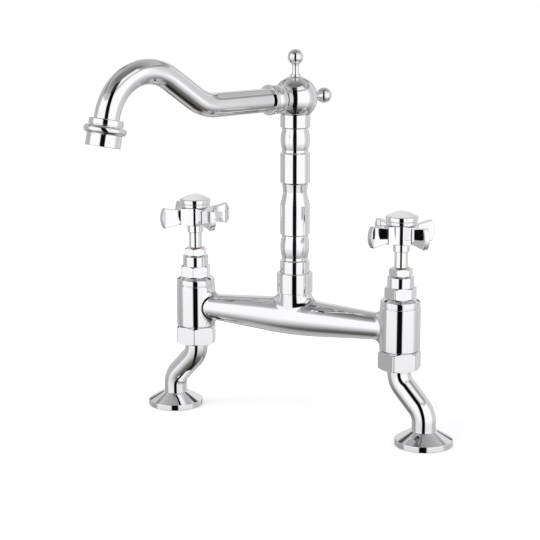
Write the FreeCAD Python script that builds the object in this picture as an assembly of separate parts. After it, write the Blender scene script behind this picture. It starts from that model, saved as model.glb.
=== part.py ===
import FreeCAD, Part
import math
import os

# Bridge kitchen faucet. Millimetres, +Z up, the deck at z = 0.
# The origin is midway between the two feet, the bridge runs along X, and -Y faces the user.

# Layout
tap_centres = 200.0         # between the two valve axes
leg_crank = 25.4            # step of each leg, from its valve axis to its foot
leg_turn = 9.0              # degrees that both legs are turned clockwise, seen from above
spout_swing = 20.0          # degrees that the spout stands to the left of straight ahead
left_arm_angle = -32.4      # one arm of each cross handle, in degrees from +X
right_arm_angle = -29.4
left_hex_angle = -11.8      # one corner of each valve's hexagons, in degrees from +X
right_hex_angle = -27.0
left_union_angle = -7.1     # one corner of each union nut
right_union_angle = -23.3

# Clearances
thread_gap = 0.10           # radial, between a male and a female thread
running_gap = 0.08          # radial, between a part that turns and its bore
swivel_gap = 0.30           # radial, round a part that turns freely in a collar or nut
end_play = 0.10             # along the axis of a part that turns
braze_gap = 0.05            # radial, between a tube and its socket
face_gap = 0.05             # between polished ceramic faces and round seats

# Feet: cover flange, its gasket and the cranked leg
flange_r = 25.0
flange_rim_height = 5.0
flange_height = 12.8
flange_neck_r = 11.4
gasket_height = 1.5
gasket_width = 8.0
gasket_edge = 2.0           # wall of the flange outside the gasket
leg_r = 10.25
leg_bore_r = 6.5
leg_slant = 45.0            # degrees from upright
leg_foot_straight = 27.5    # height of the lower bend's corner above the deck
leg_bend_r = 18.0
leg_end_gap = 0.5           # the leg stops this far above the deck
inlet_thread_r = 7.5        # G3/8 socket for the supply tail
inlet_thread_depth = 12.0
leg_collar_r = 12.5
leg_collar_height = 3.0

# Union nuts and washers
union_low = 63.4            # underside of the nut above the deck
union_height = 16.3
union_flats = 33.4
union_corner_round = 2.0
union_lip = 3.0
union_washer_height = 2.0
union_thread_r = 13.2       # G3/4 on the neck of the casting
union_top_gap = 0.6

# Bridge casting
barrel_r = 17.5
barrel_height = 37.6
barrel_foot_round = 0.8
groove_height = 0.8
groove_depth = 0.9          # inside the rim's own radius
rim_r = 17.1
rim_height = 4.7
rim_slope_height = 1.8
rim_mouth_r = 14.2
axis_height = 18.1          # bridge axis above the foot of the barrels
bridge_centre_r = 16.3
bridge_shoulder_r = 15.1
bridge_shoulder = 30.0      # half length of the arched middle of the bridge
bridge_end_r = 10.3         # where the taper meets the valve axis
casting_fillet = 6.4
boss_r = 14.7
boss_fillet = 8.5
boss_height = 22.4          # top of the boss above the bridge axis
waterway_r = 6.5
neck_bore_r = 8.0
seat_port_r = 5.2
seat_thickness = 5.0
seat_drop = 7.4             # seat below the bridge axis

# Swivel at the foot of the spout column
collar_r = 15.6
collar_height = 17.9
collar_lip = 2.4
collar_thread_r = 14.1
slip_ring_height = 2.6
slip_ring_r = 13.9
slip_ring_slot = 4.0
column_land = 1.6
thrust_washer_height = 1.0
column_neck_r = 11.2
stub_r = 9.5
stub_length = 24.0
stub_bore_r = 6.3
column_ring_section = 2.0
column_ring_spacing = 12.0
column_ring_drop = 5.0      # upper seal below the thrust washer

# Spout column, a turned moulding read from the foot up
column_r = 12.9
column_bore_r = 7.8
column_groove_r = 11.35
column_edge = 0.8           # chamfer of each cylinder into its groove
groove_gap = 2.4
foot_length = 11.2
lower_bulb = 18.0
bulb_r = 12.7
middle_length = 25.7
waist_r = 10.4
waist_fall = 10.6
waist_rise = 8.2
waist_step = 1.2
waist_round = 7.0
upper_length = 26.0
upper_bulb = 17.0
head_length = 11.0

# Elbow ball and finials
ball_r = 19.05
ball_bore_r = 7.5
spigot_r = 8.6
spigot_length = 8.0
finial_ball_r = 6.7
finial_height = 34.8        # centre of the small ball above the centre of the large one
finial_neck_r = 2.8         # at the waist of the hollow neck
finial_neck_end_r = 3.5     # where the neck meets the small ball and the foot
finial_foot_r = 4.5
finial_foot_height = 1.1
finial_thread_r = 2.5
finial_thread_length = 7.0

# Ferrule between the ball and the spout tube, distances from the ball's centre
ferrule_ring_r = 12.5
ferrule_ring_end = 18.6
ferrule_groove = 0.8
ferrule_groove_r = 11.5
ferrule_bead = 9.0
ferrule_bead_r = 12.3
ferrule_bead_edge_r = 11.6
ferrule_flange = 3.2
ferrule_flange_r = 12.9
ferrule_thread_r = 9.0
ferrule_thread_start = 12.5
tube_socket = 8.0

# Spout tube
tube_r = 10.1
tube_wall = 1.3
arch_reach = 161.5          # crown of the arch from the column axis
arch_rise = 30.8            # crown of the arch above the ball's centre
arch_bend_r = 41.0
spout_climb = 33.7          # degrees that the middle run climbs
climb_bend_r = 40.0
outlet_lean = 12.0          # degrees that the outlet leans outward

# Nozzle and aerator, distances along the outlet from the end of the arch
nozzle_start = 1.8
nozzle_band = 4.6
nozzle_band_r = 13.6
nozzle_groove = 0.6
nozzle_groove_r = 12.9
nozzle_bead = 6.4
nozzle_bead_r = 16.8
nozzle_bead_edge_r = 13.6
nozzle_socket = 6.5
aerator_thread_r = 11.6
aerator_thread_length = 3.6
housing_r = 13.8
housing_length = 9.8
housing_lip = 1.6
housing_lip_r = 10.4
aerator_washer_height = 1.5
aerator_washer_bore_r = 8.4
aerator_recess = 0.6        # the insert stops this far inside the housing's end
aerator_hole_r = 0.85
aerator_hole_pitch = 2.6
aerator_hole_rings = 3

# Valve headworks: a quarter-turn ceramic disc cartridge
headworks_thread_r = 10.4
headworks_hex_flats = 24.5
headworks_hex_height = 10.4
headworks_corner_round = 1.3
headworks_barrel_r = 11.4
headworks_barrel_height = 9.3
headworks_core_r = 9.2      # below the thread
headworks_thread_length = 15.6
cartridge_bore_r = 7.6
cartridge_bore_top = 3.7    # top of the bore below the underside of the hexagon
window_width = 6.5
window_height = 6.0
window_turn = 45.0          # degrees between the windows and the bridge
disc_height = 3.0
seal_height = 1.6
seal_bore_r = 5.2
port_inner_r = 1.2
port_outer_r = 5.0
port_span = 80.0
packing_height = 3.0
gland_thread_r = 7.0
gland_thread_length = 5.5
gland_hex_flats = 18.0
gland_hex_height = 6.7
gland_dish_r = 7.6
gland_dish_depth = 1.3
ring_section = 1.6          # rubber rings of the headworks and spindle

# Spindle and its quarter-turn stop
spindle_r = 4.0
fork_height = 7.0
fork_slot = 7.6
stop_height = 2.0
stop_r = 6.4
stop_lug_angle = 30.0
stop_play = 1.0             # degrees that the stop leaves past each end of the turn
quarter_turn = 90.0
half_turn = 180.0
square_side = 5.4
square_length = 9.8

# Cross handle, index and sleeve
sleeve_r = 5.75
sleeve_length = 14.0        # visible above the gland nut
sleeve_tuck = 2.0           # hidden in the neck of the handle
sleeve_gap = 0.4
hub_neck_r = 7.1
hub_neck_height = 6.6
hub_r = 10.3
hub_height = 16.1
arm_height_offset = 8.4     # middle of the arms above the underside of the hub
arm_root_r = 6.2            # where the arms begin, inside the hub
arm_tip_r = 34.3
arm_tip_bulge = 2.6
arm_tip_height = 18.4
arm_root_height = 9.6
arm_thickness = 5.0
arm_flare_start = 29.5      # from here the flat sides bend outward to the tip
arm_tip_thickness = 6.2
arm_edge_round = 0.7
arm_count = 4
pad_r = 16.2
pad_root_width = 13.0       # of the pads' tapered sides, carried on to the hub's axis
pad_end_width = 6.4
pad_height = 15.1
recess_r = 8.1
recess_depth = 5.0
screw_head_r = 3.6
screw_head_height = 2.4
screw_r = 1.95
screw_length = 10.0
screw_floor = 2.0           # metal between the screw head and the square socket
screw_slot = 1.0
screw_spare = 1.0           # the hole goes on this far past the screw
bezel_low_r = 13.2
bezel_low_height = 3.2
bezel_groove = 0.5
bezel_groove_depth = 0.5
bezel_floor_gap = 0.5       # between the screwed plug of the bezel and the floor of its recess
bezel_r = 13.8
bezel_height = 4.1
index_r = 12.0
index_edge = 2.0
index_dome = 4.2

# Roundings shared by the turned pieces
fine_edge = 0.3
soft_edge = 0.5
round_edge = 0.9
bold_edge = 1.2

# Making allowances: how far two shapes reach into each other before they are joined or cut
lap = 1.0
groove_width_share = 1.2    # width of a ring's groove over the ring's own section

os.makedirs("parts", exist_ok=True)

V = FreeCAD.Vector
UP = V(0, 0, 1)
ORIGIN = V(0, 0, 0)

# Heights that follow from the sizes above
tap_half = tap_centres / 2
leg_collar_low = union_low + union_lip + end_play
leg_top = leg_collar_low + leg_collar_height
neck_end = leg_top + end_play + union_washer_height
union_top = union_low + union_height
barrel_low = union_top + union_top_gap
bridge_axis = barrel_low + axis_height
groove_low = barrel_low + barrel_height
rim_low = groove_low + groove_height
rim_edge = rim_low + rim_height
rim_top = rim_edge + rim_slope_height
seat_top = bridge_axis - seat_drop
hex_top = rim_top + headworks_hex_height
headworks_top = hex_top + headworks_barrel_height
gland_top = headworks_top + gland_hex_height
sleeve_low = gland_top + sleeve_gap
hub_neck_low = sleeve_low + sleeve_length
hub_low = hub_neck_low + hub_neck_height
hub_top = hub_low + hub_height
index_low = hub_top + bezel_low_height + bezel_groove + bezel_height - index_edge
boss_top = bridge_axis + boss_height
collar_top = boss_top + collar_height
slip_ring_top = collar_top - collar_lip - end_play
slip_ring_low = slip_ring_top - slip_ring_height
land_low = slip_ring_low - column_land
upstand_top = land_low - end_play - thrust_washer_height
head_top = (collar_top + foot_length + lower_bulb + middle_length + waist_fall + waist_rise + waist_step
            + upper_length + upper_bulb + head_length + 4 * groove_gap)
ball_height = head_top + math.sqrt(ball_r ** 2 - column_r ** 2)
tube_bore_r = tube_r - tube_wall
spout_angle = -90.0 - spout_swing


# Shape helpers

def outline(corners):
    """Closed profile in the XZ plane, from corners (across, up), (across, up, rounding) or, for a point
    that the arc between its two neighbours passes through, (across, up, "via")."""
    count = len(corners)
    points = [V(corner[0], 0, corner[1]) for corner in corners]
    marks = [corner[2] if len(corner) > 2 else 0 for corner in corners]
    arrivals = list(points)
    departures = list(points)
    bends = [None] * count
    for i in range(count):
        if marks[i] == "via" or not marks[i]:
            continue
        back = points[i - 1] - points[i]
        ahead = points[(i + 1) % count] - points[i]
        half = back.getAngle(ahead) / 2
        reach = min(marks[i] / math.tan(half), 0.45 * min(back.Length, ahead.Length))
        back.normalize()
        ahead.normalize()
        middle = (back + ahead).normalize() * (reach / math.cos(half) - reach * math.tan(half))
        arrivals[i] = points[i] + back * reach
        departures[i] = points[i] + ahead * reach
        bends[i] = Part.Arc(arrivals[i], points[i] + middle, departures[i]).toShape()
    edges = []
    for i in range(count):
        if marks[i] == "via":
            continue
        if bends[i]:
            edges.append(bends[i])
        after = (i + 1) % count
        if marks[after] == "via":
            edges.append(Part.Arc(departures[i], points[after], arrivals[(i + 2) % count]).toShape())
        else:
            edges.append(Part.LineSegment(departures[i], arrivals[after]).toShape())
    return Part.Wire(edges)


def turned(corners):
    """Solid of revolution about Z from an outline of (radius, height) corners."""
    return Part.Face(outline(corners)).revolve(ORIGIN, UP, 360)


def rod(radius, low, high):
    return Part.makeCylinder(radius, high - low, V(0, 0, low))


def tube(outer_r, inner_r, low, high, edge=0.0):
    """Plain ring or pipe about Z with softened outer edges."""
    return turned([(inner_r, low), (outer_r, low, edge), (outer_r, high, edge), (inner_r, high)])


def rubber_ring(outer_r, section, middle):
    """Round rubber ring whose outside reaches outer_r."""
    return Part.makeTorus(outer_r - section / 2, section / 2, V(0, 0, middle))


def ring_groove(face_r, floor_r, section, middle):
    """Cutter for the groove of a rubber ring in an outside face."""
    half = section * groove_width_share / 2
    return tube(face_r + lap, floor_r, middle - half, middle + half)


def sector(inner_r, outer_r, start, span, low, high):
    """Part of a ring about Z that begins at an angle and covers a span, in degrees."""
    flat = [(inner_r, low), (outer_r, low), (outer_r, high), (inner_r, high)]
    shape = Part.Face(outline(flat)).revolve(ORIGIN, UP, span)
    shape.rotate(ORIGIN, UP, start)
    return shape


def hexagon(flats, low, high, angle, corner_round=soft_edge):
    """Six-sided blank with one corner at an angle, its corners turned off at both ends."""
    corner_r = flats / math.sqrt(3)
    ring = [V(corner_r, 0, low)]
    for step in range(1, 7):
        turn = math.radians(60 * step)
        ring.append(V(corner_r * math.cos(turn), corner_r * math.sin(turn), low))
    blank = Part.Face(Part.makePolygon(ring)).extrude(V(0, 0, high - low))
    upright = [edge for edge in blank.Edges if edge.BoundBox.ZLength > (high - low) / 2]
    blank = blank.makeFillet(corner_round, upright)
    face_r = flats / 2 - fine_edge
    drop = (corner_r - face_r) * math.tan(math.radians(30))
    envelope = turned([(0, low), (face_r, low), (corner_r, low + drop), (corner_r, high - drop),
                       (face_r, high), (0, high)])
    blank = blank.common(envelope)
    blank.rotate(ORIGIN, UP, angle)
    return blank


def swept(path_edges, radius):
    """Round bar along a path of straight runs and tangent arcs."""
    path = Part.Wire(path_edges)
    start = path_edges[0].valueAt(path_edges[0].FirstParameter)
    heading = path_edges[0].tangentAt(path_edges[0].FirstParameter)
    circle = Part.Wire(Part.makeCircle(radius, start, heading))
    return path.makePipeShell([circle], True, False)


def single(shape):
    """The one solid that a shape holds."""
    return shape.Solids[0] if len(shape.Solids) == 1 else shape


def moved(shape, x, y, z, turn=0.0):
    """Copy turned about Z and then shifted."""
    copy = shape.copy()
    copy.rotate(ORIGIN, UP, turn)
    copy.translate(V(x, y, z))
    return copy


def save(name, shape):
    shape.exportStep("parts/" + name + ".step")


# Feet and legs, made for a leg that steps out along +X from its valve axis

def leg_path(high, low):
    """Centre line of the cranked leg, from a height above the upper bend down to one near the deck."""
    tangent = leg_bend_r * math.tan(math.radians(leg_slant / 2))
    lean = V(math.sin(math.radians(leg_slant)), 0, -math.cos(math.radians(leg_slant)))
    bisector = V(math.cos(math.radians(leg_slant / 2)), 0, math.sin(math.radians(leg_slant / 2)))
    inset = leg_bend_r / math.cos(math.radians(leg_slant / 2)) - leg_bend_r
    lower_corner = V(leg_crank, 0, leg_foot_straight)
    upper_corner = V(0, 0, leg_foot_straight + leg_crank / math.tan(math.radians(leg_slant)))
    upper_start = upper_corner + UP * tangent
    upper_end = upper_corner + lean * tangent
    lower_start = lower_corner - lean * tangent
    lower_end = lower_corner - UP * tangent
    return [
        Part.LineSegment(V(0, 0, high), upper_start).toShape(),
        Part.Arc(upper_start, upper_corner + bisector * inset, upper_end).toShape(),
        Part.LineSegment(upper_end, lower_start).toShape(),
        Part.Arc(lower_start, lower_corner - bisector * inset, lower_end).toShape(),
        Part.LineSegment(lower_end, V(leg_crank, 0, low)).toShape(),
    ]


def make_leg():
    """Cranked tail pipe with a collar at the top and a threaded socket at the foot."""
    pipe = swept(leg_path(leg_top, leg_end_gap), leg_r)
    collar = turned([(0, leg_collar_low), (leg_collar_r, leg_collar_low, soft_edge),
                     (leg_collar_r, leg_top, soft_edge), (0, leg_top)])
    pipe = pipe.fuse(collar).removeSplitter()
    pipe = pipe.cut(swept(leg_path(leg_top, leg_end_gap), leg_bore_r))
    socket = rod(inlet_thread_r, leg_end_gap, leg_end_gap + inlet_thread_depth)
    return single(pipe.cut(moved(socket, leg_crank, 0, 0)))


def make_flange():
    """Conical cover flange with a pocket for its gasket."""
    hole_r = leg_r + braze_gap
    pocket_r = flange_r - gasket_edge
    body = turned([
        (hole_r, 0), (pocket_r - gasket_width, 0), (pocket_r - gasket_width, gasket_height),
        (pocket_r, gasket_height), (pocket_r, 0), (flange_r, 0, soft_edge),
        (flange_r, flange_rim_height, round_edge), (flange_neck_r, flange_height, soft_edge),
        (hole_r, flange_height)])
    return moved(body, leg_crank, 0, 0)


def make_gasket():
    outer_r = flange_r - gasket_edge - braze_gap
    inner_r = flange_r - gasket_edge - gasket_width + braze_gap
    return moved(tube(outer_r, inner_r, 0, gasket_height), leg_crank, 0, 0)


# Union at the foot of each valve, about the valve axis

def make_union_nut(angle):
    nut = hexagon(union_flats, union_low, union_top, angle, union_corner_round)
    nut = nut.cut(rod(leg_r + swivel_gap, union_low, union_top))
    return single(nut.cut(rod(union_thread_r + thread_gap, union_low + union_lip, union_top)))


def make_union_washer():
    return tube(leg_collar_r, neck_bore_r, leg_top + end_play, neck_end)


# Bridge casting

def bridge_bar():
    """Arched and tapering bar between the two valves, revolved about the bridge axis."""
    bar = turned([(0, -tap_half), (bridge_end_r, -tap_half), (bridge_shoulder_r, -bridge_shoulder),
                  (bridge_centre_r, 0, "via"), (bridge_shoulder_r, bridge_shoulder),
                  (bridge_end_r, tap_half), (0, tap_half)])
    bar.rotate(ORIGIN, V(0, 1, 0), 90)
    bar.translate(V(0, 0, bridge_axis))
    return bar


def valve_barrel():
    """Plain outside of a valve body before the groove, rim and neck are added."""
    return turned([(0, barrel_low), (barrel_r, barrel_low, barrel_foot_round),
                   (barrel_r, groove_low, fine_edge), (0, groove_low)])


def valve_ends():
    """Rim above the barrel and threaded neck below it."""
    groove_r = rim_r - groove_depth
    rim = turned([(0, groove_low - lap), (groove_r, groove_low - lap), (groove_r, rim_low),
                  (rim_r, rim_low, fine_edge), (rim_r, rim_edge, round_edge),
                  (rim_mouth_r, rim_top, fine_edge), (0, rim_top)])
    return rim.fuse(turned([(0, neck_end), (union_thread_r, neck_end, soft_edge),
                            (union_thread_r, barrel_low + lap), (0, barrel_low + lap)]))


def valve_cavity():
    """Chamber for the headworks, the seat's port and the inlet bore."""
    chamber = rod(headworks_thread_r + thread_gap, seat_top, rim_top)
    port = rod(seat_port_r, seat_top - seat_thickness, seat_top)
    return chamber.fuse([port, rod(neck_bore_r, neck_end, seat_top - seat_thickness)])


def make_bridge_body():
    """One casting: two valve bodies, the bridge between them and the boss for the spout."""
    boss = rod(boss_r, bridge_axis, boss_top + boss_fillet)
    casting = bridge_bar().fuse(boss).removeSplitter()
    seams = [edge for edge in casting.Edges if edge.Curve.TypeId == "Part::GeomBSplineCurve"]
    casting = casting.makeFillet(boss_fillet, seams)
    casting = casting.cut(rod(boss_r + boss_fillet, boss_top, boss_top + boss_fillet + lap))
    barrels = [moved(valve_barrel(), side * tap_half, 0, 0) for side in (-1, 1)]
    casting = casting.fuse(barrels).removeSplitter()
    seams = [edge for edge in casting.Edges
             if edge.Curve.TypeId == "Part::GeomBSplineCurve" and abs(edge.CenterOfMass.x) > tap_half / 2]
    casting = casting.makeFillet(casting_fillet, seams)
    casting = casting.fuse([moved(valve_ends(), side * tap_half, 0, 0) for side in (-1, 1)])
    upstand = turned([(0, boss_top - lap), (collar_thread_r, boss_top - lap),
                      (collar_thread_r, upstand_top, soft_edge), (0, upstand_top)])
    casting = casting.fuse(upstand)
    bore = Part.makeCylinder(waterway_r, tap_centres, V(-tap_half, 0, bridge_axis), V(1, 0, 0))
    socket_floor = land_low - stub_length - end_play
    cuts = [bore, rod(waterway_r, bridge_axis, socket_floor + lap),
            rod(stub_r + running_gap, socket_floor, upstand_top)]
    cuts += [moved(valve_cavity(), side * tap_half, 0, 0) for side in (-1, 1)]
    return single(casting.cut(cuts).removeSplitter())


# Swivel and column

def make_retaining_collar():
    body = turned([(0, boss_top), (collar_r, boss_top, soft_edge), (collar_r, collar_top, round_edge),
                   (0, collar_top)])
    body = body.cut(rod(column_r + swivel_gap, boss_top, collar_top))
    return single(body.cut(rod(collar_thread_r + thread_gap, boss_top, collar_top - collar_lip)))


def make_thrust_washer():
    return tube(collar_thread_r - swivel_gap, stub_r + swivel_gap, upstand_top,
                upstand_top + thrust_washer_height)


def make_slip_ring():
    """Split plastic ring that is sprung into the column's neck and holds it under the collar's lip."""
    ring = tube(slip_ring_r, column_neck_r + braze_gap, slip_ring_low, slip_ring_top, fine_edge)
    slot = Part.makeBox(slip_ring_r * 2, slip_ring_slot, slip_ring_height,
                        V(0, -slip_ring_slot / 2, slip_ring_low))
    return single(ring.cut(slot))


def column_ring_heights():
    upper = land_low - column_ring_drop
    return [upper, upper - column_ring_spacing]


def make_column_rings():
    outer_r = stub_r + running_gap - face_gap
    return Part.makeCompound([rubber_ring(outer_r, column_ring_section, middle)
                              for middle in column_ring_heights()])


def column_moulding():
    """Outside of the column from the collar's lip to the ball, as (radius, height) corners."""
    groove = column_groove_r
    edge = column_edge
    level = collar_top + foot_length
    corners = [(column_r, level - edge, fine_edge), (groove, level, fine_edge)]
    level += groove_gap
    corners += [(groove, level), (bulb_r, level + lower_bulb / 2, "via")]
    level += lower_bulb
    corners += [(groove, level), (groove, level + groove_gap - edge, fine_edge)]
    level += groove_gap
    corners.append((column_r, level, fine_edge))
    level += middle_length
    corners.append((column_r, level, soft_edge))
    level += waist_fall
    corners.append((waist_r, level, waist_round))
    level += waist_rise
    corners.append((groove, level, fine_edge))
    level += waist_step
    corners.append((column_r, level, fine_edge))
    level += upper_length
    corners += [(column_r, level - edge, fine_edge), (groove, level, fine_edge)]
    level += groove_gap
    corners += [(groove, level), (bulb_r, level + upper_bulb / 2, "via")]
    level += upper_bulb
    corners += [(groove, level), (groove, level + groove_gap - edge, fine_edge)]
    level += groove_gap
    corners.append((column_r, level, fine_edge))
    return corners


def make_spout_column():
    """Turned column with its swivel stub below and the ball's seat on top."""
    ring_outer = stub_r + running_gap - face_gap
    corners = [(0, land_low - stub_length), (stub_r, land_low - stub_length, soft_edge), (stub_r, land_low),
               (column_r, land_low, fine_edge), (column_r, slip_ring_low), (column_neck_r, slip_ring_low),
               (column_neck_r, slip_ring_top), (column_r, slip_ring_top)]
    corners += column_moulding()
    corners += [(column_r, ball_height), (0, ball_height)]
    column = turned(corners)
    column = column.cut(Part.makeSphere(ball_r + face_gap, V(0, 0, ball_height)))
    column = column.cut([rod(stub_bore_r, land_low - stub_length, slip_ring_top),
                         rod(column_bore_r, slip_ring_top, ball_height),
                         rod(spigot_r + thread_gap, ball_height - ball_r - spigot_length, ball_height)])
    groove_floor_r = ring_outer - column_ring_section
    for middle in column_ring_heights():
        column = column.cut(ring_groove(stub_r, groove_floor_r, column_ring_section, middle))
    return max(column.Solids, key=lambda solid: solid.Volume)


# Elbow ball and finials, made about the ball's centre; the spout leaves along +X

def make_elbow_ball():
    ball = Part.makeSphere(ball_r)
    ball = ball.fuse(rod(spigot_r, -ball_r - spigot_length + face_gap, -ball_bore_r)).removeSplitter()
    outlet = Part.makeCylinder(ball_bore_r, ball_r, ORIGIN, V(1, 0, 0))
    socket = Part.makeCylinder(ferrule_thread_r + thread_gap, ball_r,
                               V(ferrule_thread_start - face_gap, 0, 0), V(1, 0, 0))
    stud_hole = rod(finial_thread_r + thread_gap, ball_r - finial_thread_length - face_gap, ball_r)
    rear_hole = stud_hole.copy()
    rear_hole.rotate(ORIGIN, V(0, 1, 0), -90)
    riser = rod(waterway_r, -ball_r - spigot_length, 0)
    return single(ball.cut([riser, outlet, Part.makeSphere(ball_bore_r), socket, stud_hole, rear_hole]))


def make_finial():
    """Small ball on a hollow neck and a low foot, with a threaded stud into the large ball."""
    join_height = finial_height - math.sqrt(finial_ball_r ** 2 - finial_neck_end_r ** 2)
    foot_top = ball_r + finial_foot_height
    body = turned([
        (0, ball_r - lap), (finial_foot_r, ball_r - lap), (finial_foot_r, foot_top, soft_edge),
        (finial_neck_end_r, foot_top), (finial_neck_r, (foot_top + join_height) / 2, "via"),
        (finial_neck_end_r, join_height), (finial_ball_r, finial_height, "via"),
        (0, finial_height + finial_ball_r)])
    body = body.cut(Part.makeSphere(ball_r + face_gap))
    stud = rod(finial_thread_r, ball_r - finial_thread_length, ball_r + lap)
    return single(body.fuse(stud).removeSplitter())


# Spout, made in the XZ plane about the ball's centre

def spout_points():
    """Named points of the spout's centre line."""
    climb = math.radians(spout_climb)
    lean = math.radians(outlet_lean)
    centre = V(arch_reach, 0, arch_rise - arch_bend_r)
    climb_way = V(math.cos(climb), 0, math.sin(climb))
    outlet_way = V(math.sin(lean), 0, -math.cos(lean))
    arch_start = centre + V(-math.sin(climb), 0, math.cos(climb)) * arch_bend_r
    arch_end = centre + V(math.cos(lean), 0, math.sin(lean)) * arch_bend_r
    corner = arch_start - climb_way * (arch_start.z / math.sin(climb))
    reach = climb_bend_r * math.tan(climb / 2)
    inset = climb_bend_r / math.cos(climb / 2) - climb_bend_r
    return {
        "bend_start": corner - V(reach, 0, 0),
        "bend_middle": corner + V(-math.sin(climb / 2), 0, math.cos(climb / 2)) * inset,
        "bend_end": corner + climb_way * reach,
        "arch_start": arch_start,
        "arch_crown": centre + V(0, 0, arch_bend_r),
        "arch_end": arch_end,
        "outlet_way": outlet_way,
    }


def spout_path(start, tail):
    """Centre line from a distance in front of the ball to a distance past the end of the arch."""
    at = spout_points()
    return [
        Part.LineSegment(V(start, 0, 0), at["bend_start"]).toShape(),
        Part.Arc(at["bend_start"], at["bend_middle"], at["bend_end"]).toShape(),
        Part.LineSegment(at["bend_end"], at["arch_start"]).toShape(),
        Part.Arc(at["arch_start"], at["arch_crown"], at["arch_end"]).toShape(),
        Part.LineSegment(at["arch_end"], at["arch_end"] + at["outlet_way"] * tail).toShape(),
    ]


def ferrule_end():
    return ferrule_ring_end + 2 * ferrule_groove + ferrule_bead + ferrule_flange


def make_ferrule():
    """Turned connector: a ring on the ball, a bead, and a flange that the tube is brazed into."""
    bead_start = ferrule_ring_end + ferrule_groove
    bead_end = bead_start + ferrule_bead
    flange_start = bead_end + ferrule_groove
    body = turned([
        (0, 0), (ferrule_ring_r, 0), (ferrule_ring_r, ferrule_ring_end, soft_edge),
        (ferrule_groove_r, ferrule_ring_end), (ferrule_groove_r, bead_start),
        (ferrule_bead_edge_r, bead_start), (ferrule_bead_r, (bead_start + bead_end) / 2, "via"),
        (ferrule_bead_edge_r, bead_end),
        (ferrule_groove_r, bead_end), (ferrule_groove_r, flange_start),
        (ferrule_flange_r, flange_start, soft_edge), (ferrule_flange_r, ferrule_end(), round_edge),
        (0, ferrule_end())])
    body = body.cut(Part.makeSphere(ball_r + face_gap))
    body = body.fuse(rod(ferrule_thread_r, ferrule_thread_start, ball_r + lap))
    body = body.cut([rod(ball_bore_r, 0, ferrule_end()),
                     rod(tube_r + braze_gap, ferrule_end() - tube_socket, ferrule_end())])
    body = max(body.Solids, key=lambda solid: solid.Volume)
    body.rotate(ORIGIN, V(0, 1, 0), 90)
    return body


def make_spout_tube():
    start = ferrule_end() - tube_socket
    tail = nozzle_start + nozzle_socket
    return single(swept(spout_path(start, tail), tube_r).cut(swept(spout_path(start, tail), tube_bore_r)))


def at_outlet(shape):
    """Move a shape made about Z, downwards from z = 0, to the end of the spout's arch."""
    at = spout_points()
    placed = shape.copy()
    placed.rotate(ORIGIN, V(0, 1, 0), -outlet_lean)
    placed.translate(at["arch_end"])
    return placed


def nozzle_levels():
    """Distances along the outlet: band end, bead start, bead end, thread end."""
    band_end = nozzle_start + nozzle_band
    bead_start = band_end + nozzle_groove
    bead_end = bead_start + nozzle_bead
    return band_end, bead_start, bead_end, bead_end + aerator_thread_length


def make_nozzle_collar():
    """Collar brazed to the tube: a plain band, a bead and the aerator's thread."""
    band_end, bead_start, bead_end, thread_end = nozzle_levels()
    socket_end = nozzle_start + nozzle_socket
    body = turned([
        (tube_r + braze_gap, -nozzle_start), (nozzle_band_r, -nozzle_start, round_edge),
        (nozzle_band_r, -band_end, soft_edge), (nozzle_groove_r, -band_end), (nozzle_groove_r, -bead_start),
        (nozzle_bead_edge_r, -bead_start), (nozzle_bead_r, -(bead_start + bead_end) / 2, "via"),
        (nozzle_bead_edge_r, -bead_end), (aerator_thread_r, -bead_end),
        (aerator_thread_r, -thread_end, soft_edge), (tube_bore_r, -thread_end), (tube_bore_r, -socket_end),
        (tube_r + braze_gap, -socket_end)])
    return at_outlet(body)


def make_aerator_housing():
    """Ring that screws onto the nozzle and holds the aerator by its inner lip."""
    top = nozzle_levels()[2] + face_gap
    end = top + housing_length
    inner_r = aerator_thread_r + thread_gap
    return at_outlet(turned([
        (inner_r, -top), (housing_r, -top, fine_edge), (housing_r, -end, soft_edge),
        (housing_lip_r, -end, fine_edge), (housing_lip_r, -end + housing_lip),
        (inner_r, -end + housing_lip)]))


def aerator_levels():
    """Distances along the outlet: washer top, washer end, insert's flange end, insert end."""
    washer_top = nozzle_levels()[3]
    washer_end = washer_top + aerator_washer_height
    housing_end = nozzle_levels()[2] + face_gap + housing_length
    return washer_top, washer_end, housing_end - housing_lip, housing_end - aerator_recess


def make_aerator_washer():
    washer_top, washer_end = aerator_levels()[:2]
    return at_outlet(tube(aerator_thread_r - face_gap, aerator_washer_bore_r, -washer_end, -washer_top))


def make_aerator_insert():
    """Plastic flow straightener: rings of small holes in a flanged cup."""
    washer_end, lip_top, insert_end = aerator_levels()[1:]
    cup_r = aerator_thread_r - face_gap
    core_r = housing_lip_r - face_gap
    body = turned([(0, -insert_end), (core_r, -insert_end), (core_r, -lip_top), (cup_r, -lip_top),
                   (cup_r, -washer_end), (0, -washer_end)])
    body = body.cut(rod(aerator_washer_bore_r, -lip_top, -washer_end))
    holes = [rod(aerator_hole_r, -insert_end, -lip_top)]
    for ring in range(1, aerator_hole_rings + 1):
        for step in range(6 * ring):
            turn = math.radians(60 * step / ring)
            reach = ring * aerator_hole_pitch
            holes.append(moved(holes[0], reach * math.cos(turn), reach * math.sin(turn), 0))
    return at_outlet(single(body.cut(holes)))


# Valve headworks, about the valve axis

def disc_low():
    return seat_top + seal_height


def carrier_low():
    return disc_low() + 2 * disc_height + face_gap


def carrier_top():
    return rim_top - cartridge_bore_top - end_play


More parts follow.
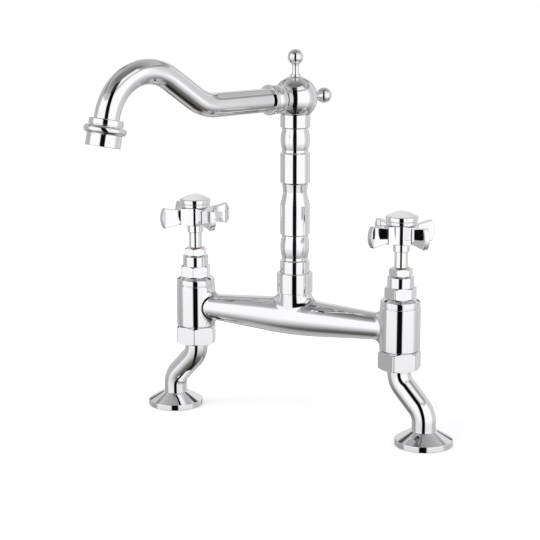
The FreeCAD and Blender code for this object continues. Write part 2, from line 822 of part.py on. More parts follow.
def make_headworks(angle, hand):
    """Cartridge body: hexagon and barrel outside, thread and windowed core inside the casting."""
    thread_low = rim_top - headworks_thread_length
    core = turned([(0, seat_top + face_gap), (headworks_core_r, seat_top + face_gap, fine_edge),
                   (headworks_core_r, thread_low), (headworks_thread_r, thread_low + soft_edge),
                   (headworks_thread_r, rim_top), (0, rim_top)])
    barrel = turned([(0, hex_top - lap), (headworks_barrel_r, hex_top - lap),
                     (headworks_barrel_r, headworks_top - round_edge),
                     (headworks_barrel_r - round_edge, headworks_top), (0, headworks_top)])
    nut = hexagon(headworks_hex_flats, rim_top, hex_top, angle, headworks_corner_round)
    body = core.fuse([nut, barrel]).removeSplitter()
    bore_top = rim_top - cartridge_bore_top
    gland_floor = headworks_top - gland_thread_length - packing_height
    window_low = carrier_low() + swivel_gap
    cuts = [rod(cartridge_bore_r, seat_top, bore_top), rod(spindle_r + running_gap, seat_top, headworks_top),
            rod(gland_thread_r + thread_gap, gland_floor, headworks_top)]
    for turn in (0, quarter_turn):
        slot = Part.makeBox(2 * (headworks_core_r + lap), window_width, window_height,
                            V(-headworks_core_r - lap, -window_width / 2, window_low))
        cuts.append(moved(slot, 0, 0, 0, turn + window_turn))
    stop_span = quarter_turn + stop_lug_angle + 2 * stop_play
    start = -stop_lug_angle / 2 - stop_play
    if hand < 0:
        start = -start - stop_span
    cuts.append(sector(spindle_r - lap, stop_r + swivel_gap, start, stop_span, bore_top - lap,
                       bore_top + stop_height + 2 * end_play))
    cuts.append(ring_groove(headworks_thread_r, headworks_thread_r - ring_section, ring_section,
                            rim_top - ring_section))
    return single(body.cut(cuts))


def make_headworks_ring():
    return rubber_ring(headworks_thread_r, ring_section, rim_top - ring_section)


def make_seat_seal():
    return tube(cartridge_bore_r - thread_gap, seal_bore_r, seat_top, disc_low())


def ported_disc(radius, low, turn):
    """Ceramic disc with two opposite openings."""
    disc = rod(radius, low, low + disc_height)
    for half in (0, half_turn):
        disc = disc.cut(sector(port_inner_r, port_outer_r, turn + half - port_span / 2, port_span,
                               low, low + disc_height))
    return single(disc)


def make_fixed_disc():
    return ported_disc(cartridge_bore_r - thread_gap, disc_low(), 0)


def make_moving_disc():
    return ported_disc(cartridge_bore_r - swivel_gap, disc_low() + disc_height + face_gap, quarter_turn)


def make_packing():
    top = headworks_top - gland_thread_length
    return tube(gland_thread_r, spindle_r + running_gap, top - packing_height, top)


def make_gland_nut(angle):
    """Small hexagon nut that presses the packing round the spindle."""
    nut = hexagon(gland_hex_flats, headworks_top, gland_top, angle)
    nut = nut.fuse(rod(gland_thread_r, headworks_top - gland_thread_length, headworks_top)).removeSplitter()
    floor = gland_top - gland_dish_depth
    dish = turned([(0, floor), (gland_dish_r - gland_dish_depth, floor), (gland_dish_r, gland_top),
                   (0, gland_top)])
    bore = rod(spindle_r + running_gap, headworks_top - gland_thread_length, gland_top)
    return single(nut.cut([dish, bore]))


# Spindle and handle, about the valve axis

def make_spindle(hand):
    """Forked carrier for the moving disc, stop lug, round stem and square end."""
    low = carrier_low()
    top = carrier_top()
    carrier_r = cartridge_bore_r - swivel_gap
    fork_top = low + fork_height
    body = rod(carrier_r, low, top)
    fork_gap = Part.makeBox(carrier_r * 2, fork_slot, fork_height, V(-carrier_r, -fork_slot / 2, low))
    body = body.cut(fork_gap)
    ring_middle = (fork_top + top) / 2
    groove_r = cartridge_bore_r - face_gap - ring_section
    body = body.cut(ring_groove(carrier_r, groove_r, ring_section, ring_middle))
    square_low = hub_neck_low + sleeve_tuck
    square_top = square_low + square_length
    stem = rod(spindle_r, top - lap, square_low)
    square = Part.makeBox(square_side, square_side, square_length + lap,
                          V(-square_side / 2, -square_side / 2, square_low - lap))
    lug = sector(spindle_r - lap, stop_r, -stop_lug_angle / 2, stop_lug_angle, top - lap, top + stop_height)
    body = body.fuse([stem, square, lug]).removeSplitter()
    screw_hole = rod(screw_r + braze_gap, square_top - screw_length + screw_floor - screw_spare, square_top)
    return single(body.cut(screw_hole))


def make_spindle_ring():
    middle = (carrier_low() + fork_height + carrier_top()) / 2
    return rubber_ring(cartridge_bore_r - face_gap, ring_section, middle)


def make_sleeve():
    return tube(sleeve_r, spindle_r + thread_gap, sleeve_low, hub_neck_low + sleeve_tuck, soft_edge)


def handle_arm():
    """One paddle along +X: flat sides that bend outward near its tall, bowed end."""
    middle = hub_low + arm_height_offset
    edge_r = arm_tip_r - arm_tip_bulge
    side_view = outline([
        (arm_root_r, middle - arm_root_height / 2), (edge_r, middle - arm_tip_height / 2),
        (arm_tip_r, middle, "via"), (edge_r, middle + arm_tip_height / 2),
        (arm_root_r, middle + arm_root_height / 2)])
    paddle = Part.Face(side_view).extrude(V(0, 2 * arm_tip_thickness, 0))
    paddle.translate(V(0, -arm_tip_thickness, 0))
    run = arm_tip_r - arm_flare_start
    rise = (arm_tip_thickness - arm_thickness) / 2
    flare_r = (run ** 2 + rise ** 2) / (2 * rise)
    far = arm_tip_r + lap
    bend = (arm_flare_start + far) / 2
    half_root = arm_thickness / 2
    half_bend = half_root + flare_r - math.sqrt(flare_r ** 2 - (bend - arm_flare_start) ** 2)
    half_far = half_root + flare_r - math.sqrt(flare_r ** 2 - (far - arm_flare_start) ** 2)
    plan = Part.Face(outline([
        (arm_root_r, -half_root), (arm_flare_start, -half_root), (bend, -half_bend, "via"), (far, -half_far),
        (far, half_far), (bend, half_bend, "via"), (arm_flare_start, half_root), (arm_root_r, half_root)]))
    plan.rotate(ORIGIN, V(1, 0, 0), -quarter_turn)
    plan = plan.extrude(V(0, 0, 2 * arm_tip_height))
    plan.translate(V(0, 0, middle - arm_tip_height))
    paddle = paddle.common(plan)
    outer = [edge for edge in paddle.Edges
             if edge.BoundBox.XMax > arm_flare_start + lap or edge.BoundBox.XLength > lap]
    return paddle.makeFillet(arm_edge_round, outer)


def hub_pad():
    """Tapered, sharp-edged pad that the arm along +X grows out of."""
    plan = Part.Face(outline([
        (0, -pad_root_width / 2), (pad_r, -pad_end_width / 2), (pad_r, pad_end_width / 2), (0, pad_root_width / 2)]))
    plan.rotate(ORIGIN, V(1, 0, 0), -quarter_turn)
    block = plan.extrude(V(0, 0, pad_height))
    block.translate(V(0, 0, hub_low + arm_height_offset - pad_height / 2))
    outer = [edge for edge in block.Edges if edge.BoundBox.XMin > pad_r - lap]
    return block.makeFillet(fine_edge, outer)


def make_handle_cross(angle):
    """Hub with its neck, four arms, the square socket and the screw's and index's recesses."""
    hub = turned([(0, hub_neck_low), (hub_neck_r, hub_neck_low, soft_edge), (hub_neck_r, hub_low, fine_edge),
                  (hub_r, hub_low, soft_edge), (hub_r, hub_top, fine_edge), (0, hub_top)])
    pieces = []
    for step in range(arm_count):
        turn = 2 * half_turn * step / arm_count
        pieces += [moved(handle_arm(), 0, 0, 0, turn), moved(hub_pad(), 0, 0, 0, turn)]
    body = hub.fuse(pieces).removeSplitter()
    body.rotate(ORIGIN, UP, angle)
    square_low = hub_neck_low + sleeve_tuck
    square_top = square_low + square_length + face_gap
    side = square_side + 2 * thread_gap
    recess_floor = hub_top - recess_depth
    cuts = [rod(sleeve_r + braze_gap, hub_neck_low, square_low + face_gap),
            Part.makeBox(side, side, square_top - square_low, V(-side / 2, -side / 2, square_low)),
            rod(screw_r + swivel_gap, square_low, hub_top),
            rod(screw_head_r + swivel_gap, square_top + screw_floor, hub_top),
            rod(recess_r, recess_floor, hub_top)]
    return single(body.cut(cuts))


def make_handle_screw():
    """Pan-headed screw down the middle of the hub into the spindle."""
    seat = hub_neck_low + sleeve_tuck + square_length + face_gap + screw_floor
    head = turned([(0, seat), (screw_head_r, seat), (screw_head_r, seat + screw_head_height, soft_edge),
                   (0, seat + screw_head_height)])
    slot = Part.makeBox(2 * (screw_head_r + lap), screw_slot, screw_slot,
                        V(-screw_head_r - lap, -screw_slot / 2, seat + screw_head_height - screw_slot))
    return single(head.fuse(rod(screw_r, seat - screw_length, seat)).removeSplitter().cut(slot))


def make_index_bezel():
    """Two-step cap ring screwed into the hub, with a seat for the index."""
    low_top = hub_top + bezel_low_height
    high_low = low_top + bezel_groove
    top = high_low + bezel_height
    seat_r = index_r + braze_gap
    plug_low = hub_top - recess_depth + bezel_floor_gap
    groove_r = bezel_low_r - bezel_groove_depth
    return turned([
        (0, plug_low), (recess_r - thread_gap, plug_low), (recess_r - thread_gap, hub_top),
        (bezel_low_r, hub_top, bold_edge), (bezel_low_r, low_top, fine_edge), (groove_r, low_top),
        (groove_r, high_low), (bezel_r, high_low, soft_edge), (bezel_r, top, bold_edge),
        (seat_r, top, fine_edge), (seat_r, index_low), (0, index_low)])


def make_index_disc():
    """Domed index, glazed white."""
    edge_top = index_low + index_edge
    crown = edge_top + index_dome
    dome_r = (index_r ** 2 + index_dome ** 2) / (2 * index_dome)
    half_way = index_r / 2
    half_height = crown - dome_r + math.sqrt(dome_r ** 2 - half_way ** 2)
    return turned([(0, index_low), (index_r, index_low, fine_edge), (index_r, edge_top),
                   (half_way, half_height, "via"), (0, crown)])


# Assembly

side_sizes = {
    "left": {"x": -tap_half, "leg": half_turn - leg_turn, "hand": 1, "arms": left_arm_angle,
             "hex": left_hex_angle, "union": left_union_angle},
    "right": {"x": tap_half, "leg": -leg_turn, "hand": -1, "arms": right_arm_angle,
              "hex": right_hex_angle, "union": right_union_angle},
}

save("bridge_body", make_bridge_body())
save("retaining_collar", make_retaining_collar())
save("thrust_washer", make_thrust_washer())

for side, at in side_sizes.items():
    for name, shape in {
        "leg": make_leg(),
        "foot_flange": make_flange(),
        "foot_gasket": make_gasket(),
    }.items():
        save(side + "_" + name, moved(shape, at["x"], 0, 0, at["leg"]))
    for name, shape in {
        "union_nut": make_union_nut(at["union"]),
        "union_washer": make_union_washer(),
        "headworks": make_headworks(at["hex"], at["hand"]),
        "headworks_ring": make_headworks_ring(),
        "seat_seal": make_seat_seal(),
        "fixed_disc": make_fixed_disc(),
        "moving_disc": make_moving_disc(),
        "packing": make_packing(),
        "gland_nut": make_gland_nut(at["hex"]),
        "spindle": make_spindle(at["hand"]),
        "spindle_ring": make_spindle_ring(),
        "spindle_sleeve": make_sleeve(),
        "handle_cross": make_handle_cross(at["arms"]),
        "handle_screw": make_handle_screw(),
        "index_bezel": make_index_bezel(),
        "index_disc": make_index_disc(),
    }.items():
        save(side + "_" + name, moved(shape, at["x"], 0, 0))

save("spout_column", make_spout_column())
save("column_rings", make_column_rings())
save("slip_ring", moved(make_slip_ring(), 0, 0, 0, spout_angle))

rear_finial = make_finial()
rear_finial.rotate(ORIGIN, V(0, 1, 0), -90)
for name, shape in {
    "elbow_ball": make_elbow_ball(),
    "top_finial": make_finial(),
    "rear_finial": rear_finial,
    "spout_ferrule": make_ferrule(),
    "spout_tube": make_spout_tube(),
    "nozzle_collar": make_nozzle_collar(),
    "aerator_housing": make_aerator_housing(),
    "aerator_washer": make_aerator_washer(),
    "aerator_insert": make_aerator_insert(),
}.items():
    save(name, moved(shape, 0, 0, ball_height, spout_angle))
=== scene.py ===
import math
import bmesh
import bpy
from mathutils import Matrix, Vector

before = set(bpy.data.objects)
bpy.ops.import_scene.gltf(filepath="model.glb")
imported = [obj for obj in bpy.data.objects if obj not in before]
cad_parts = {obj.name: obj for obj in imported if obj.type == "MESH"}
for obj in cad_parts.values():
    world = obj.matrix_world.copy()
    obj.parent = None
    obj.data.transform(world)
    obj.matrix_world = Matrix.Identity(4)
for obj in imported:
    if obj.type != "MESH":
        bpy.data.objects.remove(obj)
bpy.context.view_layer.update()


# The camera. A long lens stands to the right of the faucet and looks a little down on it.
# Its direction is given as the angle round from the front and the height above level.
camera_turn = math.radians(26.79)
camera_height_angle = math.radians(11.97)
camera_distance = 1.320
camera_lens = 100.13
camera_target = Vector((-0.01946, -0.00983, 0.1401))

camera_back = Vector((
    math.sin(camera_turn) * math.cos(camera_height_angle),
    -math.cos(camera_turn) * math.cos(camera_height_angle),
    math.sin(camera_height_angle)))
camera = bpy.data.objects.new("camera", bpy.data.cameras.new("camera"))
camera.data.lens = camera_lens
camera.data.sensor_width = 36.0
camera.data.clip_start = 0.05
camera.location = camera_target + camera_back * camera_distance
camera.rotation_euler = camera_back.to_track_quat("Z", "Y").to_euler()
bpy.context.scene.collection.objects.link(camera)
bpy.context.scene.camera = camera
bpy.context.scene.view_settings.view_transform = "Standard"


# The studio. A wide pale floor takes the faucet's shadow, in front of a plain white surround.
# Round it, above and below, stand the white, grey and black flags that a photographer hangs about
# polished metal, so that it shows its form. They are glowing sheets, and below level they also carry
# painted shade, darkest straight under the faucet, in place of its shadow on the floor. Only reflections
# see them, and they see nothing of the floor.
floor_half_width = 60.0
flag_centre = (0.0, 0.0, 0.17)
flag_radius = 2.0
flag_segments = 128
front_side = (-80, 80, 30)       # first and last angle from the camera's side, and the width of the edges
canopy_opening = (17, 66, 5)
dark_above = (-24, 6, 5)
dark_below = (-17, 9, 3)
world_level = 0.86
floor_lift = 0.24
key_power = 9.0
key_width = 1.2
key_place = (-0.9, -1.1, 1.6)
plain_white = (1.0, 1.0, 1.0, 1.0)


def linear(value):
    """One channel of a colour, from how it is written on a screen to how light adds up."""
    value = value / 255.0
    return value / 12.92 if value <= 0.04045 else ((value + 0.055) / 1.055) ** 2.4


def colour(red, green, blue):
    return (linear(red), linear(green), linear(blue), 1.0)


class Wire:
    """A value that varies over a surface. Sums with it become Math nodes."""

    def __init__(self, finish, socket):
        self.finish = finish
        self.socket = socket

    def sum(self, operation, first, second):
        return self.finish.node("ShaderNodeMath", {"operation": operation}, {0: first, 1: second}, 0)

    def __add__(self, other):
        return self.sum("ADD", self, other)

    def __radd__(self, other):
        return self.sum("ADD", other, self)

    def __rsub__(self, other):
        return self.sum("SUBTRACT", other, self)

    def __mul__(self, other):
        return self.sum("MULTIPLY", self, other)


class Finish:
    """The nodes of one material, or of the world."""

    def __init__(self, owner):
        owner.use_nodes = True
        self.owner = owner
        self.tree = owner.node_tree
        self.tree.nodes.clear()

    def node(self, kind, settings, sockets, output=None):
        """One node: what it is, its settings, its sockets' values or wires, and the output to go on from."""
        made = self.tree.nodes.new(kind)
        for name, value in settings.items():
            if name == "stops":
                stops = made.color_ramp.elements
                stops.remove(stops[1])
                stops[0].position, stops[0].color = value[0]
                for place, tint in value[1:]:
                    stops.new(place).color = tint
            else:
                setattr(made, name, value)
        for name, value in sockets.items():
            if isinstance(value, Wire):
                self.tree.links.new(value.socket, made.inputs[name])
            else:
                made.inputs[name].default_value = value
        return None if output is None else Wire(self, made.outputs[output])

    def place(self, turn=(0.0, 0.0, 0.0), centre=(0.0, 0.0, 0.0), scale=(1.0, 1.0, 1.0)):
        """Object coordinates, moved so that centre is the middle, then turned and scaled."""
        own = self.node("ShaderNodeTexCoord", {}, {}, "Object")
        moved = self.node("ShaderNodeVectorMath", {"operation": "SUBTRACT"}, {0: own, 1: centre}, 0)
        return self.node("ShaderNodeMapping", {}, {"Vector": moved, "Rotation": turn, "Scale": scale}, 0)

    def end(self, surface, output="ShaderNodeOutputMaterial"):
        self.node(output, {}, {"Surface": surface})
        return self.owner


def new_material(name):
    return Finish(bpy.data.materials.new(name))


def placed(name, shape):
    """A new piece at the origin, made from a finished bmesh."""
    mesh = bpy.data.meshes.new(name)
    shape.to_mesh(mesh)
    shape.free()
    piece = bpy.data.objects.new(name, mesh)
    bpy.context.scene.collection.objects.link(piece)
    return piece


surround = Finish(bpy.data.worlds.new("studio"))
bpy.context.scene.world = surround.owner
seen = surround.node("ShaderNodeLightPath", {}, {}, "Is Camera Ray")
mirrored = surround.node("ShaderNodeLightPath", {}, {}, "Is Glossy Ray")
through = surround.node("ShaderNodeLightPath", {}, {}, "Is Transmission Ray")
shown = surround.node(
    "ShaderNodeMath", {"operation": "ADD", "use_clamp": True}, {0: seen + mirrored, 1: through}, 0)
light = surround.node(
    "ShaderNodeBackground", {}, {"Color": colour(250, 250, 252), "Strength": world_level}, 0)
white = surround.node("ShaderNodeBackground", {}, {"Color": plain_white, "Strength": 1.0}, 0)
surround.end(
    surround.node("ShaderNodeMixShader", {}, {0: shown, 1: light, 2: white}, 0), "ShaderNodeOutputWorld")

floor_shape = bmesh.new()
bmesh.ops.create_grid(floor_shape, x_segments=1, y_segments=1, size=floor_half_width)
floor = placed("floor", floor_shape)
pale = new_material("pale_floor")
seen = pale.node("ShaderNodeLightPath", {}, {}, "Is Camera Ray")
board = pale.node("ShaderNodeBsdfDiffuse", {}, {"Color": colour(248, 248, 249)}, 0)
lift = pale.node("ShaderNodeEmission", {}, {"Color": plain_white, "Strength": floor_lift}, 0)
lifted = pale.node("ShaderNodeAddShader", {}, {0: board, 1: lift}, 0)
floor.data.materials.append(
    pale.end(pale.node("ShaderNodeMixShader", {}, {0: seen, 1: board, 2: lifted}, 0)))
floor.visible_glossy = False


def hang_flag(name, shape, finish, tint):
    """A flag that only reflections see. It gives off its tint and casts no shadow."""
    flag = placed(name, shape)
    glow = finish.node("ShaderNodeEmission", {}, {"Color": tint, "Strength": 1.0}, 0)
    flag.data.materials.append(finish.end(glow))
    finish.owner.cycles.emission_sampling = "NONE"
    flag.visible_camera = False
    flag.visible_diffuse = False
    flag.visible_transmission = False
    flag.visible_volume_scatter = False
    flag.visible_shadow = False


def grey(level, warmth=0.0):
    return (level * (1.0 + warmth), level, level * (1.0 - warmth), 1.0)


def round_stop(angle):
    """Where an angle from the camera's side, in degrees to the right, falls on the ring of flags."""
    return angle / 360.0 + 0.5


def round_about(finish):
    """The angle round the faucet, as a share of the whole turn that starts behind it."""
    place = finish.place(turn=(0.0, 0.0, math.pi / 2 - camera_turn))
    return finish.node("ShaderNodeTexGradient", {"gradient_type": "RADIAL"}, {0: place}, 1)


def ramp(finish, stops, share):
    return finish.node("ShaderNodeValToRGB", {"stops": stops}, {0: share}, 0)


def blend(finish, share, first, second):
    return finish.node("ShaderNodeMix", {"data_type": "RGBA"}, {0: share, 6: first, 7: second}, 2)


def band(first, last, edge):
    """Stops of a ramp that is 1 between two angles from the camera's side and 0 elsewhere."""
    return [(0.0, grey(0.0)), (round_stop(first - edge), grey(0.0)), (round_stop(first), grey(1.0)),
            (round_stop(last), grey(1.0)), (round_stop(last + edge), grey(0.0))]


ring_stops = [
    (round_stop(-180), grey(0.72)), (round_stop(-158), grey(0.70)),
    (round_stop(-155), grey(0.10)), (round_stop(-151), grey(0.10)), (round_stop(-148), grey(0.62)),
    (round_stop(-112), grey(0.46)), (round_stop(-90), grey(0.50)), (round_stop(-82), grey(1.04)),
    (round_stop(-26), grey(1.04)), (round_stop(-20), grey(0.80)), (round_stop(-17), grey(0.004)),
    (round_stop(9), grey(0.004)), (round_stop(12), grey(0.90)), (round_stop(16), grey(1.06)),
    (round_stop(74), grey(1.06)), (round_stop(84), grey(0.72)), (round_stop(104), grey(0.62)),
    (round_stop(146), grey(0.78)), (round_stop(149), grey(0.12)), (round_stop(153), grey(0.12)),
    (round_stop(156), grey(0.80)), (round_stop(180), grey(0.76))]
# Up and down the side ring: below level it darkens downwards, painted shade of the floor in towards the
# faucet; near the top it greys towards the canopy.
upright_stops = [
    (0.0, grey(0.30)), (0.10, grey(0.44)), (0.28, grey(0.74)), (0.40, grey(1.0)), (0.84, grey(1.0)),
    (0.88, grey(0.60)), (1.0, grey(0.44))]
ring_shape = bmesh.new()
bmesh.ops.create_cone(
    ring_shape, cap_ends=False, segments=flag_segments, radius1=flag_radius, radius2=flag_radius,
    depth=2 * flag_radius)
bmesh.ops.translate(ring_shape, vec=flag_centre, verts=ring_shape.verts)
ring = new_material("side_flags")
height = ring.node("ShaderNodeSeparateXYZ", {}, {0: ring.place(centre=flag_centre)}, 2)
sides = ramp(ring, ring_stops, round_about(ring))
falling = ramp(ring, upright_stops, height * (0.5 / flag_radius) + 0.5)
shaded = ring.node("ShaderNodeVectorMath", {"operation": "MULTIPLY"}, {0: sides, 1: falling}, 0)
hang_flag("side_flags", ring_shape, ring, shaded)


def level_share(finish):
    """How far out from the middle a place on a level flag is, as a share of the flag's radius."""
    place = finish.place(scale=(1.0, 1.0, 0.0))
    reach = finish.node("ShaderNodeVectorMath", {"operation": "LENGTH"}, {0: place}, "Value")
    return reach * (1.0 / flag_radius)


def front_and_rear(finish, around, out, front_stops, rear_stops):
    """A level flag's tint: one ramp in front of the faucet, which turns into another behind it."""
    rear = 1.0 - ramp(finish, band(*front_side), around)
    return blend(finish, rear, ramp(finish, front_stops, out), ramp(finish, rear_stops, out))


opening_edges = (0.52, 0.60)     # where the canopy opens, as shares of its radius
canopy_stops = [(0.0, grey(0.24)), (0.42, grey(0.17)), (0.70, grey(0.30)), (1.0, grey(0.42))]
rear_canopy_stops = [(0.0, grey(0.24)), (0.30, grey(0.36)), (1.0, grey(0.56))]
canopy_shape = bmesh.new()
bmesh.ops.create_circle(canopy_shape, cap_ends=True, segments=flag_segments, radius=flag_radius)
bmesh.ops.translate(canopy_shape, vec=(0.0, 0.0, flag_centre[2] + flag_radius), verts=canopy_shape.verts)
canopy = new_material("canopy")
out = level_share(canopy)
around = round_about(canopy)
overhead = front_and_rear(canopy, around, out, canopy_stops, rear_canopy_stops)
far_out = canopy.node(
    "ShaderNodeMapRange", {}, {0: out, 1: opening_edges[0], 2: opening_edges[1], 3: 0.0, 4: 1.0}, 0)
lit = blend(canopy, ramp(canopy, band(*canopy_opening), around) * far_out, overhead, grey(0.95))
hang_flag("canopy", canopy_shape, canopy, blend(
    canopy, ramp(canopy, band(*dark_above), around) * far_out, lit, grey(0.03)))

# The level sheet below is painted shade: darkest and a little warm straight under the faucet, where it
# stands for the faucet's shadow on the floor, and lighter out towards its rim.
below_stops_painted_shadow = [
    (0.0, grey(0.02, 0.2)), (0.24, grey(0.03, 0.2)), (0.36, grey(0.10, 0.1)), (0.70, grey(0.14, 0.05)),
    (1.0, grey(0.32))]
rear_below_stops_painted_shadow = [(0.0, grey(0.02, 0.2)), (0.20, grey(0.04, 0.2)), (0.30, grey(0.40)), (1.0, grey(0.62))]
pit_shape = bmesh.new()
bmesh.ops.create_circle(pit_shape, cap_ends=True, segments=flag_segments, radius=flag_radius)
bmesh.ops.translate(pit_shape, vec=(0.0, 0.0, flag_centre[2] - flag_radius), verts=pit_shape.verts)
pit = new_material("sheet_below_painted_shadow")
around = round_about(pit)
below = front_and_rear(pit, around, level_share(pit), below_stops_painted_shadow, rear_below_stops_painted_shadow)
hang_flag("sheet_below_painted_shadow", pit_shape, pit, blend(
    pit, ramp(pit, band(*dark_below), around), below, grey(0.01)))

key = bpy.data.objects.new("key", bpy.data.lights.new("key", "AREA"))
key.data.size = key_width
key.data.energy = key_power
key.location = key_place
key.rotation_euler = (key.location - camera_target).to_track_quat("Z", "Y").to_euler()
key.visible_glossy = False
bpy.context.scene.collection.objects.link(key)


# The feet. Each leg is a brass tube, cranked outwards and back, in a spun cone that covers the hole
# in the deck; a rubber gasket under the cone keeps water out of the hole. Both are chrome-plated.
plate_dull = colour(244, 244, 246)
plate_bright = colour(248, 248, 250)
film_per_metre = 70.0
wiping_per_metre = 900.0


def mottle(finish, per_metre, detail, place=None):
    """Uneven patches over a surface, so many to the metre."""
    own = place or finish.place()
    return finish.node("ShaderNodeTexNoise", {}, {"Vector": own, "Scale": per_metre, "Detail": detail}, 0)


def bump(finish, strength, depth, height):
    return finish.node("ShaderNodeBump", {}, {"Strength": strength, "Distance": depth, "Height": height}, 0)


def polished_chrome(name, wave_length, wave_height):
    """Bright chrome plate. Under it the metal keeps the long low waves of the wheel that polished it,
    and over it lies a thin uneven film of handling."""
    plate = new_material(name)
    waves = plate.node(
        "ShaderNodeTexNoise", {},
        {"Vector": plate.place(), "Scale": 1.0 / wave_length, "Detail": 1.0, "Roughness": 0.4}, 0)
    film = mottle(plate, film_per_metre, 4.0)
    wiping = mottle(plate, wiping_per_metre, 2.0, plate.place(turn=(0.5, 0.3, 0.2), scale=(1.0, 1.0, 0.08)))
    tint = blend(plate, film, plate_dull, plate_bright)
    relief = bump(plate, 1.0, wave_height, waves)
    surface = plate.node(
        "ShaderNodeBsdfPrincipled", {},
        {"Base Color": tint, "Metallic": 1.0, "Roughness": 0.012 + film * film * 0.04 + wiping * 0.008,
         "Normal": relief}, 0)
    return plate.end(surface)


def dress(finish, *names):
    """Gives a finish to CAD nodes."""
    for name in names:
        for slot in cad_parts[name].material_slots:
            slot.material = finish


leg_chrome = polished_chrome("chrome_on_legs", 0.030, 0.00008)
flange_chrome = polished_chrome("chrome_on_flanges", 0.020, 0.00004)
gasket_rubber = new_material("black_rubber")
grain = mottle(gasket_rubber, 1800.0, 3.0)
bloom = mottle(gasket_rubber, 120.0, 3.0)
rubber = gasket_rubber.end(gasket_rubber.node(
    "ShaderNodeBsdfPrincipled", {},
    {"Base Color": blend(gasket_rubber, bloom, colour(26, 26, 27), colour(48, 48, 50)),
     "Roughness": 0.62 + bloom * 0.2, "Normal": bump(gasket_rubber, 0.4, 0.00005, grain)}, 0))
for side in ("left", "right"):
    dress(leg_chrome, side + "_leg")
    dress(flange_chrome, side + "_foot_flange")
    dress(rubber, side + "_foot_gasket", side + "_union_washer")


# The union nuts. A forged brass hexagon on each leg draws the leg's collar up against the bridge,
# with a rubber washer between. It is machined, polished on its flats and plated.
nut_chrome = polished_chrome("chrome_on_nuts", 0.018, 0.00003)
dress(nut_chrome, "left_union_nut", "right_union_nut")


# The bridge. One brass casting holds both valve bodies, the bar between them and the boss for the
# spout. It is ground and buffed by hand, so its reflections run a little uneven.
casting_chrome = polished_chrome("chrome_on_casting", 0.034, 0.00011)
dress(casting_chrome, "bridge_body")


# The swivel. A collar screwed on the boss holds the foot of the column down on a nylon thrust
# washer, by a split ring in the column's groove. Two rubber rings seal the column's stub.
turned_chrome = polished_chrome("chrome_on_turned_brass", 0.022, 0.00003)
dress(turned_chrome, "retaining_collar")
nylon = new_material("white_nylon")
cloud = mottle(nylon, 300.0, 3.0)
white_nylon = nylon.end(nylon.node(
    "ShaderNodeBsdfPrincipled", {},
    {"Base Color": blend(nylon, cloud, colour(222, 220, 212), colour(238, 236, 230)),
     "Roughness": 0.42 + cloud * 0.12, "Normal": bump(nylon, 0.3, 0.00003, cloud)}, 0))
dress(white_nylon, "thrust_washer", "slip_ring", "left_packing", "right_packing")
dress(rubber, "column_rings", "left_headworks_ring", "right_headworks_ring", "left_spindle_ring",
      "right_spindle_ring", "left_seat_seal", "right_seat_seal", "aerator_washer")


# The column, the elbow ball and its two finials. All are turned from brass bar, polished on the
# lathe and plated; the finials screw into the ball, and the column is brazed under it.
dress(turned_chrome, "spout_column", "elbow_ball", "top_finial", "rear_finial", "spout_ferrule")


# The spout. A drawn brass tube bent to its arch, brazed into the beaded ferrule at the ball and into
# the nozzle collar at its end.
tube_chrome = polished_chrome("chrome_on_tube", 0.045, 0.00006)
dress(tube_chrome, "spout_tube")


# The nozzle. The collar takes the aerator's housing, in which a grey plastic insert breaks the
# stream up; a rubber washer seals it.
dress(turned_chrome, "nozzle_collar", "aerator_housing")
insert_plastic = new_material("grey_acetal")
cloud = mottle(insert_plastic, 500.0, 3.0)
grey_acetal = insert_plastic.end(insert_plastic.node(
    "ShaderNodeBsdfPrincipled", {},
    {"Base Color": blend(insert_plastic, cloud, colour(112, 114, 117), colour(130, 132, 135)),
     "Roughness": 0.38 + cloud * 0.14, "Normal": bump(insert_plastic, 0.3, 0.00003, cloud)}, 0))
dress(grey_acetal, "aerator_insert")


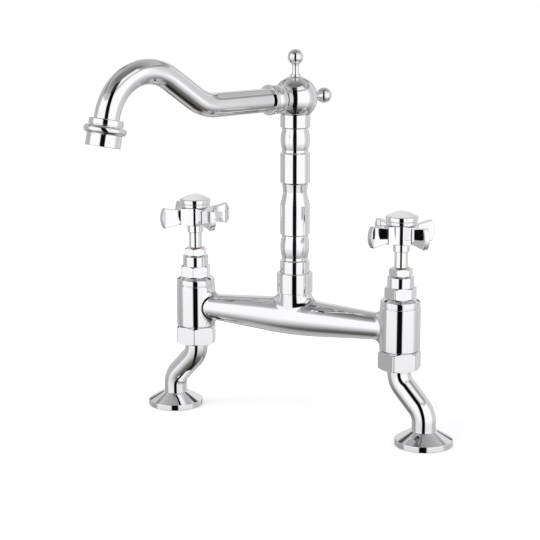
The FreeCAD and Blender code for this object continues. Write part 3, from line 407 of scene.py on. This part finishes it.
# The valves. The headworks screws into the bridge and holds two alumina discs that open and shut
# the water; the spindle turns the upper disc, and the gland nut keeps the spindle in.
brass = new_material("bare_brass")
stain = mottle(brass, 160.0, 4.0)
bare_brass = brass.end(brass.node(
    "ShaderNodeBsdfPrincipled", {},
    {"Base Color": blend(brass, stain, colour(188, 152, 82), colour(214, 182, 112)), "Metallic": 1.0,
     "Roughness": 0.18 + stain * 0.16, "Normal": bump(brass, 0.2, 0.00003, stain)}, 0))
alumina = new_material("alumina")
cloud = mottle(alumina, 420.0, 4.0)
lapped_alumina = alumina.end(alumina.node(
    "ShaderNodeBsdfPrincipled", {},
    {"Base Color": blend(alumina, cloud, colour(226, 222, 214), colour(240, 238, 232)),
     "Roughness": 0.2 + cloud * 0.1}, 0))
for side in ("left", "right"):
    dress(nut_chrome, side + "_headworks", side + "_gland_nut")
    dress(bare_brass, side + "_spindle")
    dress(lapped_alumina, side + "_fixed_disc", side + "_moving_disc")


# The cross handles. Hub and four arms are one brass casting, filed and buffed, that fits on the
# square of the spindle over a turned sleeve. A steel screw under the index holds it.
handle_chrome = polished_chrome("chrome_on_handles", 0.016, 0.00004)
steel = new_material("screw_steel")
brushing = mottle(steel, 500.0, 3.0, steel.place(scale=(1.0, 12.0, 1.0)))
screw_steel = steel.end(steel.node(
    "ShaderNodeBsdfPrincipled", {},
    {"Base Color": blend(steel, brushing, colour(150, 150, 152), colour(178, 178, 181)), "Metallic": 1.0,
     "Roughness": 0.22 + brushing * 0.15}, 0))
for side in ("left", "right"):
    dress(handle_chrome, side + "_handle_cross")
    dress(turned_chrome, side + "_spindle_sleeve", side + "_index_bezel")
    dress(screw_steel, side + "_handle_screw")


# The indexes. A turned bezel screws into each hub and holds a domed button of white porcelain. It is
# slip-cast and glazed all over, and is left plain.
porcelain = new_material("white_porcelain")
glaze = mottle(porcelain, 90.0, 3.0)
white_porcelain = porcelain.end(porcelain.node(
    "ShaderNodeBsdfPrincipled", {},
    {"Base Color": blend(porcelain, glaze, colour(233, 230, 226), colour(241, 239, 236)),
     "Roughness": 0.16 + glaze * 0.08, "Coat Weight": 0.4, "Coat Roughness": 0.04,
     "Normal": bump(porcelain, 0.4, 0.00006, glaze)}, 0))
dress(white_porcelain, "left_index_disc", "right_index_disc")
